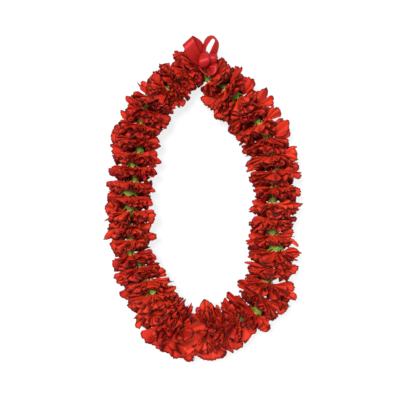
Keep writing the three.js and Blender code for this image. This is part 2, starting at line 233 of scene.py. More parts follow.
# Long petals that make the outline: where the tip lies, how wide the petal is and how pointed, 0 to 1.
BLUNT = 0
ROUND = 0.35
SHARP = 1
LONG_PETALS = {
    RIGHT: [
        (25, 212.5, 9, ROUND), (27, 209, 10, ROUND), (34, 206, 7, ROUND), (41, 199, 13, ROUND),
        (56, 198, 12, SHARP), (66, 182, 17, ROUND), (75, 180, 8, ROUND), (82, 162, 6, ROUND),
        (79, 150, 9, ROUND), (93, 166, 14, SHARP), (105, 148, 10, BLUNT), (99.5, 137, 18, ROUND),
        (112, 136, 15, BLUNT), (127, 119, 17, SHARP), (118, 121, 8, ROUND), (130, 104, 14, ROUND),
        (140, 79, 6, SHARP), (141, 67, 14, ROUND), (142, 57, 9, ROUND), (144, 52, 14, ROUND),
        (148, 36, 8, ROUND), (146, 16, 4, SHARP), (147, 8, 10, ROUND), (149, -7, 9, SHARP),
        (146, -17, 10, SHARP), (136, -48, 13, ROUND), (138, -57, 5, SHARP), (143, -70, 7, SHARP),
        (140, -74, 9, ROUND), (144, -79, 8, ROUND), (147, -81, 10, SHARP), (142, -93, 5, SHARP),
        (142, -101, 11, ROUND), (137, -130, 13, ROUND), (140, -149, 8, ROUND), (131, -159, 10, ROUND),
        (125, -166, 10, ROUND), (113, -162, 12, BLUNT), (102, -161, 9, BLUNT), (100, -188, 16, ROUND),
        (99, -197, 12, ROUND), (78, -203, 14, BLUNT), (66, -215, 10, ROUND), (60, -221, 14, ROUND),
        (45, -231, 10, ROUND), (33, -236, 11, ROUND), (15, -241, 24, BLUNT), (4, -241, 8, ROUND),
        (4, 162, 9, ROUND), (1, 144, 14, BLUNT), (10, 140, 15, BLUNT), (53, 186, 18, BLUNT),
        (13, 134, 12, ROUND), (19, 124, 12, ROUND), (32, 116, 7, ROUND), (41, 99.5, 16, BLUNT),
        (50, 92, 12, ROUND), (55.5, 80, 5, SHARP), (61, 68, 15, ROUND), (64, 50, 10, ROUND),
        (66, 40, 7, ROUND), (71, 26, 9, ROUND), (76, 13, 8, ROUND), (75, -4, 14, ROUND),
        (70, -19, 5, BLUNT), (73, -36, 13, ROUND), (70, -57, 13, ROUND), (65, -64, 7, SHARP),
        (67, -69, 8, ROUND), (69, -80, 10, ROUND), (69, -88, 7, ROUND), (64, -94, 9, SHARP),
        (67, -113, 6, ROUND), (64, -120, 8, ROUND), (54, -124, 20, BLUNT), (37, -142, 14, BLUNT),
        (33, -150, 12, ROUND), (28, -156, 13, ROUND), (6, -151, 24, ROUND), (-9, -164, 10, ROUND),
    ],
    LEFT: [
        (-42, 220, 9, ROUND), (-35, 220, 9, ROUND), (-36, 220, 12, BLUNT), (-64, 203, 13, SHARP),
        (-70, 190, 12, ROUND), (-76, 183, 9, ROUND), (-97, 175, 5, SHARP), (-89, 177, 9, ROUND),
        (-101, 161, 10, ROUND), (-114, 154, 11, SHARP), (-122, 132, 12, SHARP), (-131, 110, 10, ROUND),
        (-136.5, 98, 15, ROUND), (-137, 81, 14, ROUND), (-134, 60, 6, SHARP), (-135, 47, 7, ROUND),
        (-139, 37, 10, BLUNT), (-144, 20, 11, ROUND), (-141, 9, 7, BLUNT), (-134, 1, 9, ROUND),
        (-146, -13, 18, ROUND), (-147, -33, 4, SHARP), (-140, -37, 10, ROUND), (-148, -60, 11, SHARP),
        (-138, -66, 9, ROUND), (-133, -77, 7, ROUND), (-131, -83, 7, BLUNT), (-133, -103, 14, ROUND),
        (-133, -116, 8, ROUND), (-129, -124, 7, ROUND), (-122, -131, 11, ROUND),
        (-118.5, -150, 17, BLUNT), (-105, -167, 8, ROUND), (-103, -181, 14, ROUND),
        (-100, -190, 9, ROUND), (-88, -212, 12, ROUND), (-80, -217, 12, BLUNT), (-65, -218, 11, ROUND),
        (-49, -230, 9, ROUND), (-42, -238, 18, ROUND), (-20, -245, 8, ROUND), (-13, -244, 7, BLUNT),
        (-12, 172, 12, ROUND), (-17, 158.5, 10, SHARP), (-28, 141, 14, BLUNT), (-40.5, 135, 16, ROUND),
        (-44, 129, 9, ROUND), (-53, 106, 13, SHARP), (-64, 98, 9, ROUND), (-63, 80, 17, ROUND),
        (-62, 55, 12, SHARP), (-70, 49, 10, ROUND), (-68, 40, 12, ROUND), (-71, 12, 11, SHARP),
        (-76, 0, 5, SHARP), (-74.5, -8, 12, ROUND), (-71, -27, 17, BLUNT), (-70.5, -54, 15, ROUND),
        (-76, -79, 9, ROUND), (-69, -89, 12, ROUND), (-65, -97, 7, ROUND), (-58, -106, 9, BLUNT),
        (-44, -124, 9, SHARP), (-38, -142, 24, ROUND), (-26, -151, 9, ROUND), (-17, -156, 10, SHARP),
        (-15, -161, 9, ROUND), (-41, -133, 14, ROUND),
    ],
}
LONG_PETAL_ROLL = 68  # how far it is turned to lie flat, in degrees
# How much painted shade the pleats of long petals get, as a share of the usual.
LONG_PETAL_PLEAT_SHADE = 0.75  # how dark their pleats are, of the usual
LONG_COLUMNS = 21
LONG_PETAL_EXTRA = 1.5  # for what its bent root takes up
LONG_PETAL_FULLNESS = 0.85  # half of its own width, as a share of the width that it shows
LONG_PETAL_WIDEST = 0.75  # the most that half of its width may be, as a share of its length
LONG_PETAL_PLEAT = 0.12  # height of its pleats, as a share of its width
LONG_PETAL_PLEAT_MOST = 1.8
LONG_PETAL_POINT = 0.04
SHARP_POINT = 0.4  # what full sharpness adds to that
LONG_PETAL_LEAD = 6  # how far down the strand from its mouth a flower's long petals end, as a rule
# The same for outer petals that point up the strand, and the stretches of the strands where they do so.
BACK_LEAD = -5
BACK_STRETCHES = {RIGHT: [(0, 170), (372, 510)], LEFT: [(0, 170)]}
# Where the rows of a petal's points lie, from its root to its edge.
ROWS = np.array([0, 0.18, 0.4, 0.63, 0.84, 1.0])
PETAL_THICK = 0.4
LOWEST = 0.02  # height of the lowest point of a petal
TABLE_CURVE = 7  # height below which petals bend along the table
CROWN = 66.5  # height that no petal passes
CROWN_CURVE = 9  # how far below the crown petals begin to bend over

# The bow. A station is x, y, z and the width that the ribbon shows there; where that is less than the
# ribbon's own width, the rest of it lies in a fold. The ribbon's width points across, or else upright,
# flared out by the degrees that the station ends with.
RIBBON_WIDTH = 20
RIBBON_THICK = 0.5
RIBBON_COLUMNS = 17
LEAST_SHOWN = 4
TUCK = 0.4  # how deep the edges are tucked behind, as a share of the width that they hide
TUCK_POWER = 5
FOLD_GAP = 1.6  # between the halves of a ribbon that is doubled lengthwise
FOLD_TURN = 6  # how sharply it folds
STEPS_PER_STATION = 7
BOW_LOOPS = [
    {"across": (0.74, 0.66, 0.1), "stations": [
        (0, 203, 34, 13), (-8.5, 208.5, 39.5, 17), (-15.5, 218, 47.5, 20), (-20, 228.5, 50, 20),
        (-22.5, 234.5, 46, 20), (-17, 233, 41, 20), (-8, 227, 37, 19), (-2, 217, 33, 13),
        (1, 205, 29, 8),
    ]},
    {"doubled": True, "stations": [
        (1, 213, 37, 7, -50), (1.6, 220.3, 39, 7, -50), (3.2, 227.2, 40, 7.4, -50),
        (6.1, 233.8, 40, 10, -50), (10.2, 239.2, 40, 9.4, -50), (15.4, 240.8, 40, 6, -45),
        (19.4, 238, 40, 4, -35), (21.1, 233.4, 40, 6.8, -48), (20.5, 228.3, 40, 10.2, -50),
        (18.3, 221.6, 39.5, 12.2, -50), (16.2, 216, 38, 12.4, -55), (14.2, 210, 34, 12, -60),
    ]},
    {"stations": [
        (14.5, 203, 38, 11, 75), (15.5, 197.5, 43, 13, 75), (14.8, 192.8, 42.5, 15, 66),
        (11.5, 188.7, 40, 16, 44), (6.8, 187.3, 38, 16, 20), (2.4, 190, 37, 15, 13),
        (-1.2, 194.5, 37, 13, 12), (-1, 201, 38, 10, 15),
    ]},
    {"across": (1, 0.3, 0.12), "stations": [
        (1, 218, 41, 13), (1.5, 212.5, 46.6, 15), (2, 206, 49.4, 17.5), (2.6, 200.4, 48.8, 17.5),
        (3, 196, 44.5, 15), (3, 194.6, 39, 11),
    ]},
    {"across": (1, -0.05, 0.12), "stations": [
        (15.6, 218.5, 36, 13), (15.4, 215, 43, 13), (15.1, 210.4, 46.3, 13.5), (14.8, 205, 45.6, 13),
        (14.8, 200.5, 41, 12), (14.8, 198, 36, 10),
    ]},
]

# The key light stands high at the upper left. Its light is soft, so shadows are short and pale.
WORLD_STRENGTH = 1.06
KEY_STRENGTH = 3.7
KEY_ANGLE = 20
KEY_FROM_ABOVE = 20
KEY_TURN = 135
PAPER_GLOW = 0.77

# The camera looks straight down over a square of floor. These are in metres, but the lens and the
# sensor in millimetres.
FLOOR_HALF = 3.0
VIEW_WIDTH = 0.6
VIEW_CENTRE = (-0.0023, -0.0036)
VIEW_HEIGHT = 0.03
LENS = 85
SENSOR = 36


def route_points():
    """The closed route as a fine line, with the length along it: a centripetal Catmull-Rom curve."""
    points = np.array(ROUTE, float)
    before, here, after, beyond = (np.roll(points, -k, axis=0) for k in (-1, 0, 1, 2))

    def gap(a, b):
        return np.sqrt(np.linalg.norm(b - a, axis=1))[:, None]

    d0, d1, d2 = gap(before, here), gap(here, after), gap(after, beyond)
    leave = ((here - before) / d0 - (after - before) / (d0 + d1) + (after - here) / d1) * d1
    arrive = ((after - here) / d1 - (beyond - here) / (d1 + d2) + (beyond - after) / d2) * d1
    share = np.linspace(0, len(points), ROUTE_STEPS + 1)
    piece = np.minimum(share.astype(int), len(points) - 1)
    w = (share - piece)[:, None]
    p, q, u, v = here[piece], after[piece], leave[piece], arrive[piece]
    line = p + u * w + (3 * (q - p) - 2 * u - v) * w**2 + (2 * (p - q) + u + v) * w**3
    length = np.concatenate([[0], np.cumsum(np.linalg.norm(np.diff(line, axis=0), axis=1))])
    return line, length


route, route_length = route_points()
whole = route_length[-1]
strand_length = {RIGHT: RIGHT_LENGTH, LEFT: whole - RIGHT_LENGTH}


def on_thread(strand, distance):
    """Points on the thread, a distance down a strand."""
    at = np.mod(strand * distance, whole)
    return np.stack([np.interp(at, route_length, route[:, axis]) for axis in (0, 1)], -1)


def beside(strand, distance, across, up):
    """Points beside the thread: across is away from the lei's hole, and up is from the thread."""
    distance, across, up = np.broadcast_arrays(distance, across, up)
    point = on_thread(strand, distance)
    ahead = on_thread(strand, distance + TANGENT_STEP) - on_thread(strand, distance - TANGENT_STEP)
    ahead /= np.linalg.norm(ahead, axis=-1, keepdims=True)
    outward = np.stack([-ahead[..., 1], ahead[..., 0]], -1) * strand
    dip = BOW_DIP * np.exp(-((distance / BOW_DIP_REACH) ** 2))
    flat = point + outward * across[..., None]
    return np.concatenate([flat, (THREAD_HEIGHT - dip + up)[..., None]], -1)


def frame_offset():
    """From the route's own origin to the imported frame's, in millimetres."""
    low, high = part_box("thread")
    packed = [(low[axis] + high[axis]) / 2 / MM for axis in (0, 1)]
    own = (route.min(0) + route.max(0)) / 2
    return np.array([packed[0] - own[0], packed[1] - own[1], 0])


OFFSET = frame_offset()


def mouth_of(strand, index):
    """How far down its strand a flower's mouth lies."""
    first = FIRST_MOUTH[strand]
    last = strand_length[strand] - LAST_REACH
    return first + (last - first) * index / (FLOWERS[strand] - 1)


MOUTHS = {strand: [mouth_of(strand, index) for index in range(FLOWERS[strand])] for strand in STRANDS}


def beside_thread(strand, x, y):
    """How far down the strand a point lies, and how far from the thread, away from the hole."""
    distance = np.linspace(0, strand_length[strand], ROUTE_STEPS)
    line = on_thread(strand, distance)
    nearest = np.argmin(np.hypot(line[:, 0] - x, line[:, 1] - y))
    one_out = beside(strand, distance[nearest], 1.0, 0.0)[:2] - line[nearest]
    return distance[nearest], float(one_out @ (np.array([x, y]) - line[nearest]))


def long_petals_by_flower():
    """Each flower's long petals: tip down the strand, tip across, width and sharpness."""
    owned = {}
    for strand, tips in LONG_PETALS.items():
        for x, y, width, sharpness in tips:
            down, across = beside_thread(strand, x, y)
            back = across > 0 and any(start <= down <= end for start, end in BACK_STRETCHES[strand])
            lead = BACK_LEAD if back else LONG_PETAL_LEAD
            index = int(np.argmin([abs(down - mouth - lead) for mouth in MOUTHS[strand]]))
            owned.setdefault((strand, index), []).append((down, across, width, sharpness))
    return owned


LONG_OF_FLOWER = long_petals_by_flower()


def sway(strand, distance):
    """How far the thread lies off its line, away from the hole, where the calyxes sit off it."""
    stops = [0, *(mouth - SWAY_LEAD for mouth in MOUTHS[strand]), strand_length[strand]]
    sways = [0, *(form[3] for form in FLOWER_FORMS[strand]), 0]
    return np.interp(distance, stops, sways)


class Build:
    """Gathers points, faces and what the materials read, and makes one mesh of them."""

    def __init__(self):
        self.points = []
        self.faces = []
        self.maps = []
        self.count = 0

    def add(self, points, faces, uv, tint_and_shade):
        """Adds points and their faces, with uv and tint: two numbers each for every point."""
        points = points.reshape(-1, 3)
        self.points.append(points)
        self.faces.append(faces + self.count)
        full = np.concatenate([uv.reshape(-1, 2), np.broadcast_to(tint_and_shade, (len(points), 2))], -1)
        self.maps.append(full)
        self.count += len(points)

    def make(self, name, material, node):
        """Makes the piece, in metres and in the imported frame, in the place of a CAD node."""
        points = (np.concatenate(self.points) + OFFSET) * MM
        faces = np.concatenate(self.faces)
        maps = np.concatenate(self.maps)
        mesh = bpy.data.meshes.new(name)
        mesh.vertices.add(len(points))
        mesh.vertices.foreach_set("co", points.astype(np.float32).ravel())
        mesh.loops.add(faces.size)
        mesh.loops.foreach_set("vertex_index", faces.astype(np.int32).ravel())
        mesh.polygons.add(len(faces))
        mesh.polygons.foreach_set("loop_start", np.arange(len(faces), dtype=np.int32) * 4)
        mesh.update()
        mesh.shade_smooth()
        for layer, columns in (("grain", maps[:, :2]), ("tint_and_shade", maps[:, 2:])):
            mesh.uv_layers.new(name=layer)
            corners = columns[faces.ravel()].astype(np.float32).ravel()
            mesh.uv_layers[layer].uv.foreach_set("vector", corners)
        mesh.materials.append(material)
        made = bpy.data.objects.new(name, mesh)
        bpy.context.scene.collection.objects.link(made)
        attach(made, "root")
        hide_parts(node)
        return made


def blade_faces(rows, columns):
    """Four-cornered faces of a closed blade: a front grid, a back grid and the rim between them."""
    grid = np.arange(rows * columns).reshape(rows, columns)
    front = np.stack([grid[:-1, :-1], grid[:-1, 1:], grid[1:, 1:], grid[1:, :-1]], -1).reshape(-1, 4)
    back = front[:, ::-1] + rows * columns
    border = np.concatenate([grid[0, :-1], grid[:-1, -1], grid[-1, :0:-1], grid[:0:-1, 0]])
    following = np.roll(border, -1)
    rim = np.stack([following, border, border + rows * columns, following + rows * columns], -1)
    return np.concatenate([front, back, rim])


def tube_faces(rings, sides):
    """Faces of a tube that closes on itself both ways."""
    grid = np.arange(rings * sides).reshape(rings, sides)
    ahead = np.roll(grid, -1, axis=0)
    return np.stack([grid, np.roll(grid, -1, axis=1), np.roll(ahead, -1, axis=1), ahead], -1).reshape(-1, 4)


def normals_of(grid):
    """Which way the surface of a grid of points faces at each of them."""
    down = np.gradient(grid, axis=0)
    across = np.gradient(grid, axis=1)
    normal = np.cross(across, down)
    return normal / np.maximum(np.linalg.norm(normal, axis=-1, keepdims=True), TINY)


def smooth_step(x):
    x = np.clip(x, 0, 1)
    return x * x * (3 - 2 * x)


def between_table_and_crown(points):
    """Bends what would reach below the table along it, and what would stand above the crown over."""
    z = points[..., 2]
    low = TABLE_CURVE * np.exp(np.minimum(z - TABLE_CURVE, 0) / TABLE_CURVE)
    over = np.maximum(z - CROWN + CROWN_CURVE, 0)
    high = CROWN - CROWN_CURVE * np.exp(-over / CROWN_CURVE)
    points[..., 2] = np.where(z < TABLE_CURVE, low, np.where(over > 0, high, z))
    return points


def draw(random, what, count=None):
    """One number, or as many as count, from what DRAWS gives."""
    return random.uniform(*DRAWS[what], count)


def petal_grid(random, columns, angle, length, spread, lean, pleat, twist, point, curl):
    """One petal, and how deep in its pleats each point lies, from 0 to 1, for the painted shade in them.

    A point is how far down the strand from the flower's mouth, how far across and how far up."""
    t = np.linspace(-1, 1, columns)[None, :]
    s = ROWS[:, None]
    teeth = np.where(np.arange(columns) % 2 == 0, 1, -1) * draw(random, "tooth", columns)
    notch_depth = draw(random, "notch depth")
    notch = notch_depth * np.exp(-(((t - draw(random, "notch place")) / NOTCH_WIDTH) ** 2))
    slant = draw(random, "slant")
    edge = (TOOTH_DEPTH * teeth[None, :] - notch) * s**2
    reach = 1 + slant * t - point * np.abs(t) ** POINT_POWER - CORNER_DEPTH * t**CORNER_POWER + edge
    rho = length * s * reach
    fan = math.radians(spread) * (CLAW_FAN + (1 - CLAW_FAN) * smooth_step(s / CLAW_END)) * t
    along = rho * np.cos(fan)
    side = rho * np.sin(fan)

    line = np.linspace(0, length * PROFILE_REACH, PROFILE_STEPS)
    slope = np.radians(lean + (ROOT_LEAN - lean) * np.exp(-line / ROOT_BEND) - curl * (line / length) ** 3)
    step = line[1] - line[0]
    out = np.interp(along, line, np.cumsum(np.cos(slope)) * step)
    forward = np.interp(along, line, np.cumsum(np.sin(slope)) * step)
    tilt = np.interp(along, line, slope)

    count = draw(random, "pleats") * spread / PLEAT_SPREAD
    phase, phase2, phase3, phase4 = random.uniform(0, 2 * math.pi, 4)
    shift = PLEAT_SHIFT * np.sin(SHIFT_TURNS * t + phase2)
    turn = math.pi * count * t + phase + shift + PLEAT_SLANT * s
    wave = np.sin(turn) + FINE_PLEAT * np.sin(FINE_TURNS * turn + phase3)
    swell = pleat * (ROOT_SWELL * s + (1 - ROOT_SWELL) * s**SWELL_POWER)
    height = swell * wave
    height = height + EDGE_WAVE * s**2 * np.sin(EDGE_TURNS * math.pi * t + phase4)
    height = height + draw(random, "cup") * t**2 * s
    side = side + PLEAT_LEAN * swell * np.cos(turn) * (1 - t**2)
    # Painted shade: how deep in its pleats each point lies, which the petal material paints darker.
    pleat_shade = np.broadcast_to((1 - wave / DEEPEST_WAVE) / 2 * s**0.5, rho.shape)

    roll = math.radians(twist) * smooth_step(s / ROLL_END)[..., None]
    tilt = tilt[..., None]
    e_out = np.array([0, math.cos(angle), math.sin(angle)])
    e_turn = np.array([0, -math.sin(angle), math.cos(angle)])
    e_down = np.array([1.0, 0, 0])
    blade_normal = np.sin(tilt) * e_out - np.cos(tilt) * e_down
    across = np.cos(roll) * e_turn + np.sin(roll) * blade_normal
    normal = np.cos(roll) * blade_normal - np.sin(roll) * e_turn
    points = (
        e_out * (ROOT_RADIUS + out)[..., None]
        + e_down * (ROOT_DEPTH + forward)[..., None]
        + across * side[..., None]
        + normal * height[..., None]
    )
    return points, np.clip(pleat_shade, 0, 1)


def add_petal(build, strand, mouth, yaw, grid, pleat_shade, own):
    """Puts a petal beside the thread as a closed blade. own is how dark it is."""
    rows, columns = grid.shape[:2]
    down = grid[..., 0] + math.tan(math.radians(yaw)) * grid[..., 1]
    across = grid[..., 1] + sway(strand, mouth) * (1 - ROWS[:, None])
    placed = between_table_and_crown(beside(strand, mouth + down, across, SQUASH * grid[..., 2]))
    half = normals_of(placed) * PETAL_THICK / 2
    placed = np.stack([placed + half, placed - half])
    placed[..., 2] = np.maximum(placed[..., 2], LOWEST)
    s, t = np.meshgrid(ROWS, np.linspace(0, 1, columns), indexing="ij")
    uv = np.stack([t, s], -1)
    tint_and_shade = np.stack([np.full_like(pleat_shade, own), pleat_shade], -1)
    build.add(placed, blade_faces(rows, columns), np.stack([uv, uv]), np.stack([tint_and_shade, tint_and_shade]).reshape(-1, 2))


@dataclass
class Flower:
    """The petals round one mouth."""

    strand: int
    mouth: float  # how far down the strand it lies
    outward: float  # reach away from the lei's hole
    inward: float  # reach towards the hole
    yaw: float  # how far it is turned from square to the thread, in degrees
    room: float  # how far down the strand the petals on top reach
    tone: float  # how dark it is, 0 to 1
    last: bool = False
    highest: float = 1.0  # how high round the thread petals stand, as the sine of an angle
    least_lean: float = -90
    # the least darkness of its petals: painted shade under the bow, for the rings under the knot
    least_painted_shade: float = 0
    open_after: bool = False
    open_before: bool = False


def petal_lean(random, flower, number, angle, reach):
    """How far a petal leans from square to the thread, in degrees."""
    top = max(0, math.sin(angle)) ** 2
    under = smooth_step(-UNDER_GAIN * math.sin(angle))
    room = flower.room - ROOM_MARGIN + SIDE_ROOM * (1 - top) + draw(random, "room")
    under_lean = UNDER_LEANS[number]
    outer = math.cos(angle) > 0
    if flower.open_after and outer:
        room = flower.room * top + OPEN_SIDE_ROOM * (1 - top)
        under_lean = min(under_lean, 0)
    if flower.open_before and outer:
        under_lean = max(under_lean, 0)
    limit = math.degrees(math.atan2(room, reach))
    lean = min(LAYERS[number]["lean"] + draw(random, "lean"), limit)
    row = min(ROW_SHARES[number] + draw(random, "row"), MOST_OF_ROOM)
    return lean + (limit * row - lean) * top + (under_lean - lean) * under


def add_petals(build, random, flower):
    """All petals round one mouth but the long ones."""
    for number, layer in enumerate(LAYERS):
        start = math.pi / 2 if flower.last else random.uniform(0, 2 * math.pi)
        for k in range(layer["petals"]):
            angle = start + 2 * math.pi * (k + draw(random, "place")) / layer["petals"]
            if math.sin(angle) > flower.highest:
                continue
            side = (1 + math.cos(angle)) / 2
            radius = flower.inward + (flower.outward - flower.inward) * side
            reach = radius * layer["reach"] * draw(random, "reach") - ROOT_RADIUS
            lean = max(petal_lean(random, flower, number, angle, reach), flower.least_lean)
            if flower.last:
                lean = LAST_LEANS[number] + draw(random, "last lean")
            length = reach / math.cos(math.radians(lean))
            twist = draw(random, "side twist") * math.cos(angle) + draw(random, "twist")
            tongue = TONGUES[flower.strand] * abs(math.cos(angle)) ** TONGUE_POWER * draw(random, "tongue")
            spread = layer["spread"] * (1 - TONGUE_NARROWING * tongue)
            pleat = layer["pleat"] * (1 - TONGUE_SMOOTHING * tongue) * draw(random, "pleat")
            point = POINT + TONGUE_POINT * tongue
            curl = random.normal(*CURL)
            grid, pleat_shade = petal_grid(
                random, layer["columns"], angle, length, spread, lean, pleat, twist, point, curl
            )
            own = max(flower.tone + draw(random, "tone"), flower.least_painted_shade)
            add_petal(build, flower.strand, flower.mouth, flower.yaw, grid, pleat_shade, own)


def add_long_petal(build, random, flower, down, across, width, sharpness):
    """A long, smooth petal that lies nearly flat and ends at a given place."""
    angle = draw(random, "long angle")
    if across < 0:
        angle = math.pi - angle
    reach = abs(across / math.cos(angle)) - ROOT_RADIUS
    lean = math.degrees(math.atan2(down - flower.mouth - ROOT_DEPTH - ROOT_RUN, reach))
    length = reach / math.cos(math.radians(lean)) + LONG_PETAL_EXTRA
    spread = math.degrees(math.asin(min(LONG_PETAL_FULLNESS * width / length, LONG_PETAL_WIDEST)))
    twist = math.copysign(LONG_PETAL_ROLL, across) + draw(random, "long twist")
    pleat = min(LONG_PETAL_PLEAT * width, LONG_PETAL_PLEAT_MOST)
    point = LONG_PETAL_POINT + SHARP_POINT * sharpness
    grid, pleat_shade = petal_grid(random, LONG_COLUMNS, angle, length, spread, lean, pleat, twist, point, 0)
    own = flower.tone + draw(random, "long tone")
    add_petal(build, flower.strand, flower.mouth, 0, grid, pleat_shade * LONG_PETAL_PLEAT_SHADE, own)


def bloom(strand, index, material):
    """All petals of one flower, and for a strand's first one those under the knot too."""
    random = np.random.default_rng(BLOOM_SEEDS[strand] + index)
    build = Build()
    outward, inward, yaw, _ = FLOWER_FORMS[strand][index]
    tone = TONE_AND_SHADE_OF_FLOWER.get((strand, index), random.uniform(*TONES[strand]))
    flower = Flower(
        strand,
        MOUTHS[strand][index],
        outward,
        inward,
        yaw,
        TOP_REACH[strand][index],
        tone,
        last=index == FLOWERS[strand] - 1,
        open_after=(strand, index) in OPEN_AFTER,
        open_before=(strand, index - 1) in OPEN_AFTER,
    )
    add_petals(build, random, flower)
    if index == 0:
        # The knot rings' least darkness is painted shade under the bow.
        mouth, outward, inward, highest, least_painted_shade = KNOT_PETALS[strand]
        add_petals(build, random, Flower(
            strand, mouth, outward, inward, 0, KNOT_ROOM[strand], tone,
            highest=highest, least_lean=KNOT_LEAST_LEAN, least_painted_shade=least_painted_shade,
        ))
    for tip in LONG_OF_FLOWER.get((strand, index), []):
        add_long_petal(build, random, flower, *tip)
    name = f"{LETTERS[strand]}{index + 1:02d}"
    return build.make(f"petals_{name}", material, f"bloom_{name}")


def calyx(build, strand, mouth, next_start, flare, girth, random):
    """A ribbed cup with five pointed teeth, and the stem that goes on to the next calyx."""
    phi = np.linspace(0, 2 * math.pi, CALYX_COLUMNS, endpoint=False) + math.pi / 2
    turned = CALYX_TEETH * (phi - math.pi / 2) / (2 * math.pi)
    lobe = np.abs(np.mod(turned + 0.5, 1) - 0.5) * 2
    tooth = np.mod(np.round(turned).astype(int), CALYX_TEETH)
    slant = draw(random, "calyx tooth", CALYX_TEETH)[tooth]
    tip = NOTCH_END + (TOOTH_END - NOTCH_END) * (1 - lobe) ** TOOTH_POWER * slant
    rib = RIB_DEPTH * np.cos(RIBS * phi)

    def ring(along, radius):
        return np.full(CALYX_COLUMNS, along), np.full(CALYX_COLUMNS, radius)

    outer = []
    for along, radius in CALYX_PROFILE:
        squeeze = 1 + (girth - 1) * smooth_step((along - CALYX_START) / NARROWING)
        ribbed = rib if radius > RIBBED_FROM else 0
        outer.append((np.full(CALYX_COLUMNS, along), radius * squeeze + ribbed))
    for share in TOOTH_SHARES:
        along = CALYX_EDGE + (tip - CALYX_EDGE) * share
        opening = flare * (along - CALYX_EDGE) * (FLARE_SHARES[0] + FLARE_SHARES[1] * share)
        outer.append((along, CALYX_EDGE_RADIUS * girth + opening + rib * (1 - share)))
    inner = [(along + LIP_SHIFT, radius - CALYX_WALL) for along, radius in outer[:INNER_FROM:-1]]
    stem = [
        ring(CUP_FLOOR, CUP_FLOOR_RADIUS),
        ring((CUP_FLOOR + next_start) / 2, STEM_MIDDLE_RADIUS),
        ring(next_start, STEM_END_RADIUS),
        ring(next_start, THREAD_HOLE),
        ring(CALYX_START, THREAD_HOLE),
    ]
    rings = [ring(CALYX_START, BACK_RADIUS), *outer, *inner, *stem]
    along = np.stack([ring[0] for ring in rings])
    radius = np.stack([np.broadcast_to(ring[1], CALYX_COLUMNS) for ring in rings])
    across = radius * np.cos(phi) + sway(strand, mouth + along)
    points = beside(strand, mouth + along, across, radius * np.sin(phi))
    s = np.clip((along - CALYX_START) / CALYX_LENGTH, 0, 1)
    t = np.broadcast_to(phi / (2 * math.pi), s.shape)
    build.add(points, tube_faces(len(rings), CALYX_COLUMNS), np.stack([t, s], -1), (random.uniform(0, 1), 0))


def calyx_run(strand, first, material):
    """A few calyxes that follow each other, as one piece."""
    random = np.random.default_rng(CALYX_SEEDS[strand] + first)
    build = Build()
    following = min(first + CALYXES_PER_RUN, FLOWERS[strand])
    for index in range(first, following):
        mouth = MOUTHS[strand][index]
        stem_end = LAST_STEM_END
        if index + 1 < FLOWERS[strand]:
            stem_end = MOUTHS[strand][index + 1] + CALYX_START - mouth
        girth = OPEN_CALYXES[strand].get(index, CALYX_GIRTH)
        calyx(build, strand, mouth, stem_end, draw(random, "calyx flare"), girth, random)
    name = f"{LETTERS[strand]}{first + 1:02d}_{following:02d}"
    return build.make(f"calyx_run_{name}", material, f"calyxes_{name}")


def linear(red, green, blue):
    """A screen colour, 0 to 255, as the renderer wants it."""
    def one(value):
        value /= 255
        return value / 12.92 if value <= 0.04045 else ((value + 0.055) / 1.055) ** 2.4
    return (one(red), one(green), one(blue), 1)


class Nodes:
    """A short way to write a material's nodes. In a socket's name, _ stands for a space."""

    def __init__(self, name):
        self.material = bpy.data.materials.new(name)
        self.material.use_nodes = True
        self.tree = self.material.node_tree
        self.tree.nodes.clear()

    def add(self, kind, **values):
        """A new node with its settings and sockets set, or linked where the value is another socket."""
        node = self.tree.nodes.new(kind)
        for key, value in values.items():
            if hasattr(node, key):
                setattr(node, key, value)
            else:
                self.put(node.inputs[key.replace("_", " ")], value)
        return node

    def put(self, socket, value):
        if isinstance(value, bpy.types.NodeSocket):
            self.tree.links.new(value, socket)
        else:
            socket.default_value = value

    def math(self, operation, first, second=0.0):
        node = self.add("ShaderNodeMath", operation=operation)
        self.put(node.inputs[0], first)
        self.put(node.inputs[1], second)
        return node.outputs[0]

    def weighted(self, first, first_weight, second, second_weight):
        """The sum of two values, each times its weight."""
        first = self.math("MULTIPLY", first, first_weight)
        return self.math("ADD", first, self.math("MULTIPLY", second, second_weight))

    def mix(self, share, first, second):
        node = self.add("ShaderNodeMix", data_type="RGBA")
        self.put(node.inputs[0], share)
        self.put(node.inputs[6], first)
        self.put(node.inputs[7], second)
        return node.outputs[2]

    def over(self, under, share, strength, colour):
        """A colour laid over another by a share, which counts for no more than the strength."""
        return self.mix(self.math("MULTIPLY", share, strength), under, colour)

    def range(self, value, low, high):
        node = self.add("ShaderNodeMapRange", Value=value, From_Min=low, From_Max=high)
        return node.outputs["Result"]

    def place(self):
        return self.add("ShaderNodeTexCoord").outputs["Object"]

    def layer(self, name):
        """The mesh's numbers of one kind: both together, the first and the second."""
        uv = self.add("ShaderNodeUVMap", uv_map=name)
        parts = self.add("ShaderNodeSeparateXYZ", Vector=uv.outputs[0])
        return uv.outputs[0], parts.outputs[0], parts.outputs[1]

    def noise(self, vector, scale, detail):
        return self.add("ShaderNodeTexNoise", Vector=vector, Scale=scale, Detail=detail).outputs[0]

    def scaled(self, vector, x, y):
        return self.add("ShaderNodeMapping", Vector=vector, Scale=(x, y, 1)).outputs[0]

    def bump(self, height, strength, distance):
        return self.add("ShaderNodeBump", Height=height, Strength=strength, Distance=distance).outputs[0]

    def finish(self, **sockets):
        """Puts the values on the surface's shader and gives back the material."""
        shader = self.add("ShaderNodeBsdfPrincipled", **sockets)
        self.add("ShaderNodeOutputMaterial", Surface=shader.outputs[0])
        return self.material


